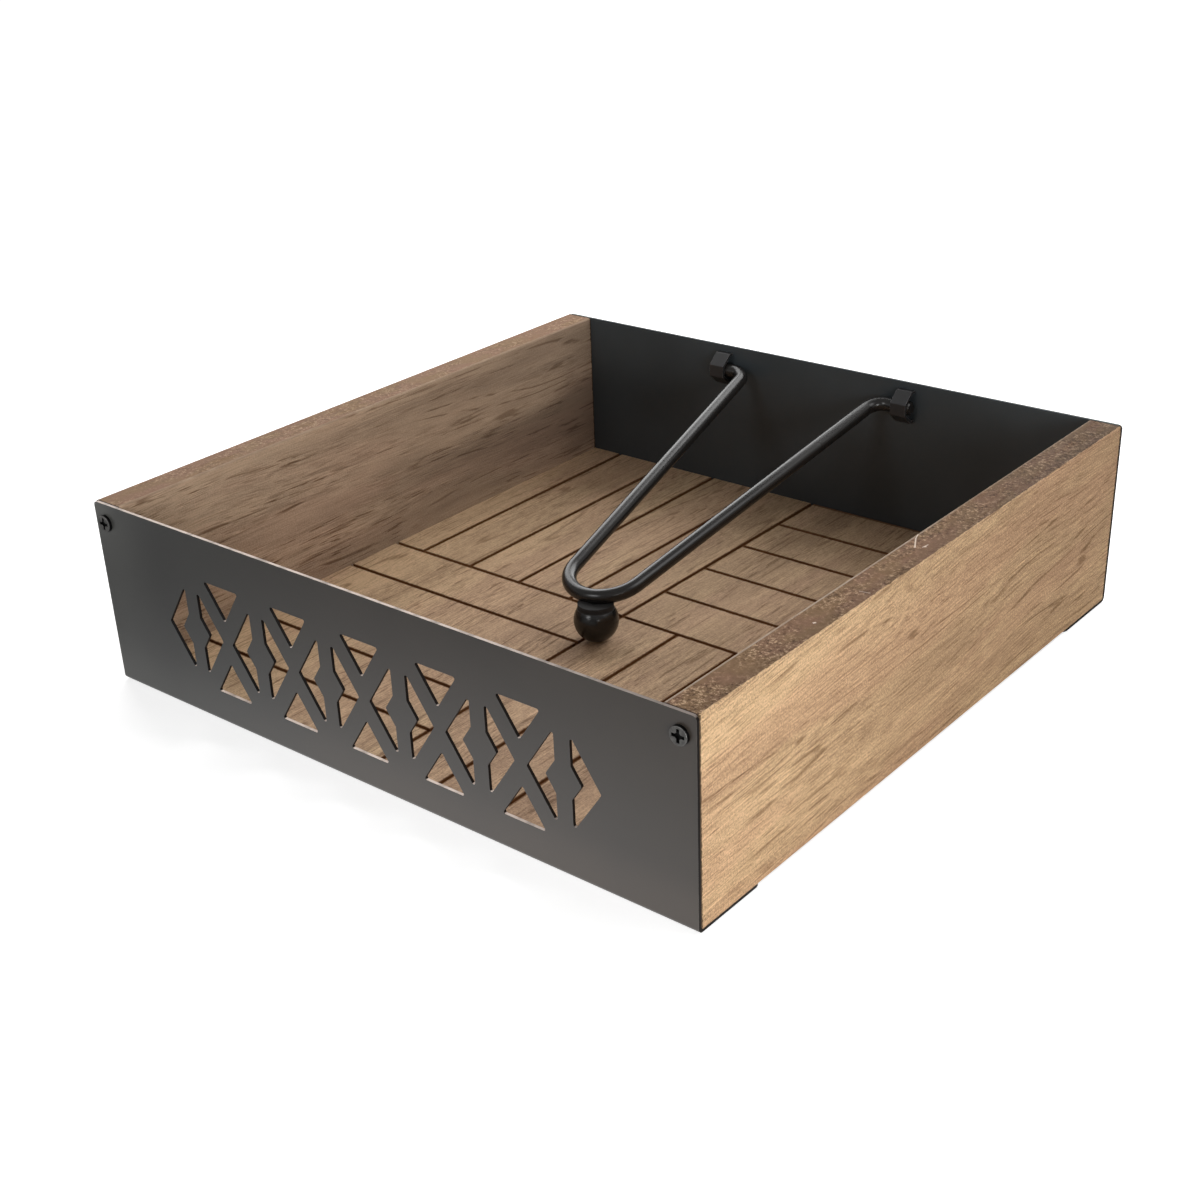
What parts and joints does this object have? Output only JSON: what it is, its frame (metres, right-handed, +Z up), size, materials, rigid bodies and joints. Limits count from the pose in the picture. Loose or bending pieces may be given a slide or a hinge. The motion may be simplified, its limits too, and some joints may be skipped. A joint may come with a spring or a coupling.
{
  "type": "napkin tray with hinged weight arm",
  "caption": "Open square napkin tray with wooden sides and floor between bent steel plates, and a hinged wire arm whose ball holds the stack down.",
  "frame": {"origin": "bottom centre of the tray, on the face of the flanges that rest on the table", "axes": "+X along the front plate to the right, +Y from the front plate to the back plate, +Z up"},
  "size_m": [0.19, 0.1918, 0.0515],
  "materials": {
    "black_powder_coat": "satin black powder coat",
    "wall_board": "fibreboard with light wood-grain faces, sealed matt",
    "floor_board": "fibreboard with wood-grain face and engraved grooves, matt",
    "black_wire": "satin black coat on round steel wire",
    "black_ball": "semi-gloss black",
    "stud_steel": "black coat",
    "screw_steel": "blackened steel"
  },
  "bodies": {
    "holder": {"front_plate": "black_powder_coat", "back_plate": "black_powder_coat", "left_wall": "wall_board", "right_wall": "wall_board", "floor_panel": "floor_board", "left_hinge_clip": "black_powder_coat", "right_hinge_clip": "black_powder_coat", "front_left_plate_screw": "screw_steel", "front_left_wall_screw": "screw_steel", "front_left_panel_screw": "screw_steel", "front_right_plate_screw": "screw_steel", "front_right_wall_screw": "screw_steel", "front_right_panel_screw": "screw_steel", "rear_left_plate_screw": "screw_steel", "rear_left_wall_screw": "screw_steel", "rear_left_panel_screw": "screw_steel", "rear_right_plate_screw": "screw_steel", "rear_right_wall_screw": "screw_steel", "rear_right_panel_screw": "screw_steel"},
    "arm": {"arm_wire": "black_wire", "ball_stud": "stud_steel", "weight_ball": "black_ball"}
  },
  "joints": [
    {"name": "arm_hinge", "type": "hinge", "parent": "holder", "child": "arm", "pos_m": [-0.0007, 0.0919, 0.0448], "axis": [-1, 0, 0], "range_deg": [0, 104.8]}
  ]
}
